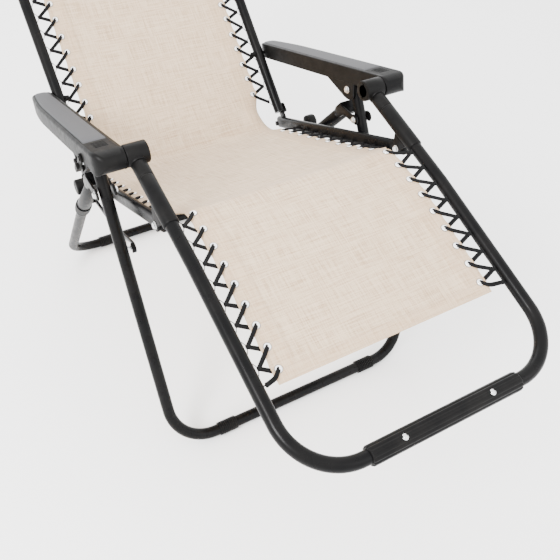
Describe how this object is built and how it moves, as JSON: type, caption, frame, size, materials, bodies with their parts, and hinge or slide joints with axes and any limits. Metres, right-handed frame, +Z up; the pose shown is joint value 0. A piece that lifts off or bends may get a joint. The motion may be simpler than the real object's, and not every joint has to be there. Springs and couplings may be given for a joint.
{
  "type": "zero gravity recliner",
  "caption": "Folding steel-tube lounge chair with laced textile sling, reclining four-bar seat, lock-lever armrests and headrest pillow.",
  "frame": {"origin": "on the ground, under the middle of the whole chair as stored (reclined)", "axes": "+Z up, +Y towards the head end, +X to the sitter's left"},
  "size_m": [0.7168, 1.5745, 0.9415],
  "materials": {
    "black_steel": "gloss black powder coat",
    "black_plastic": "fine grained moulding",
    "pad_plastic": "soft touch moulding",
    "bright_zinc": "bright zinc",
    "beige_mesh": "woven textilene",
    "beige_pad": "padded textilene",
    "black_elastic": "braided elastic cord"
  },
  "bodies": {
    "front_legs": {"front_leg_frame": "black_steel", "front_floor_sleeve_left": "black_plastic", "front_floor_sleeve_right": "black_plastic", "spreader_stud_left": "bright_zinc", "spreader_stud_right": "bright_zinc"},
    "rear_legs": {"rear_leg_frame": "black_steel", "rear_leg_upper_tube_left": "black_steel", "rear_leg_upper_tube_right": "black_steel", "rear_leg_elbow_left": "black_steel", "rear_leg_elbow_right": "black_steel", "rear_leg_fork_left": "black_steel", "rear_leg_fork_right": "black_steel", "fork_bolt_left": "bright_zinc", "fork_bolt_right": "bright_zinc", "rear_floor_sleeve_left": "black_plastic", "rear_floor_sleeve_right": "black_plastic"},
    "spreader_hook_left": {"spreader_hook_left": "black_steel"},
    "spreader_hook_right": {"spreader_hook_right": "black_steel"},
    "armrests": {"armrest_shell_left": "black_plastic", "armrest_shell_right": "black_plastic", "armrest_pad_left": "pad_plastic", "armrest_pad_right": "pad_plastic", "armrest_leg_bolt_left": "bright_zinc", "armrest_leg_bolt_right": "bright_zinc"},
    "lock_lever_left": {"lock_lever_left": "black_plastic"},
    "lock_lever_right": {"lock_lever_right": "black_plastic"},
    "leg_rest": {"legrest_frame": "black_steel", "knee_sleeve_left": "black_plastic", "knee_sleeve_right": "black_plastic", "leg_top_barrel_left": "black_plastic", "leg_top_barrel_right": "black_plastic", "barrel_bolt_left": "bright_zinc", "barrel_bolt_right": "bright_zinc", "foot_grip_screw_left": "bright_zinc", "foot_grip_screw_right": "bright_zinc", "leg_lacing_left": "black_elastic", "leg_lacing_right": "black_elastic", "foot_grip": "black_plastic", "sling_leg_panel": "beige_mesh"},
    "seat": {"seat_rail_left": "black_steel", "seat_rail_right": "black_steel", "stop_roller_left": "black_plastic", "stop_roller_right": "black_plastic", "knee_bolt_left": "bright_zinc", "knee_bolt_right": "bright_zinc", "seat_lacing_left": "black_elastic", "seat_lacing_right": "black_elastic", "sling_seat_panel": "beige_mesh"},
    "back": {"back_frame": "black_steel", "back_hinge_strap_left": "black_steel", "back_hinge_strap_right": "black_steel", "hip_pivot_bolt_left": "black_plastic", "hip_pivot_bolt_right": "black_plastic", "armrest_rear_bolt_left": "black_plastic", "armrest_rear_bolt_right": "black_plastic", "back_lacing_left": "black_elastic", "back_lacing_right": "black_elastic", "sling_back_panel": "beige_mesh"},
    "headrest": {"headrest_pillow": "beige_pad"}
  },
  "joints": [
    {"name": "leg_fold", "type": "hinge", "parent": "front_legs", "child": "rear_legs", "pos_m": [0, -0.073, 0.529], "axis": [1, 0, 0], "range_deg": [-60, 0]},
    {"name": "recline", "type": "hinge", "parent": "front_legs", "child": "armrests", "pos_m": [0, -0.0385, 0.5905], "axis": [1, 0, 0], "range_deg": [0, 12]},
    {"name": "legrest_pivot", "type": "hinge", "parent": "armrests", "child": "leg_rest", "pos_m": [0, -0.1505, 0.6518], "axis": [1, 0, 0], "range_deg": [-0.05, 16.85]},
    {"name": "knee_pivot", "type": "hinge", "parent": "leg_rest", "child": "seat", "pos_m": [0, -0.265, 0.572], "axis": [1, 0, 0], "range_deg": [-16.24, 0.05]},
    {"name": "hip_pivot", "type": "hinge", "parent": "seat", "child": "back", "pos_m": [0, 0.2043, 0.382], "axis": [1, 0, 0], "range_deg": [-0.05, 10.86]},
    {"name": "headrest_slide", "type": "slide", "parent": "back", "child": "headrest", "axis": [0, 0.7218, 0.6921], "range_m": [-0.06, 0.05]},
    {"name": "spreader_left_lift", "type": "hinge", "parent": "rear_legs", "child": "spreader_hook_left", "pos_m": [0.2865, 0.113, 0.377], "axis": [1, 0, 0], "range_deg": [-14, 0]},
    {"name": "lock_lever_left_turn", "type": "hinge", "parent": "armrests", "child": "lock_lever_left", "pos_m": [0.35, -0.08067, 0.62658], "axis": [1, 0, 0], "range_deg": [0, 35]},
    {"name": "spreader_right_lift", "type": "hinge", "parent": "rear_legs", "child": "spreader_hook_right", "pos_m": [-0.2865, 0.113, 0.377], "axis": [1, 0, 0], "range_deg": [-14, 0]},
    {"name": "lock_lever_right_turn", "type": "hinge", "parent": "armrests", "child": "lock_lever_right", "pos_m": [-0.35, -0.08067, 0.62658], "axis": [1, 0, 0], "range_deg": [0, 35]}
  ],
  "couplings": [
    {"joint": "legrest_pivot", "follows": "recline", "ratio": 1.4},
    {"joint": "knee_pivot", "follows": "recline", "ratio": -1.349},
    {"joint": "hip_pivot", "follows": "recline", "ratio": 0.901}
  ]
}
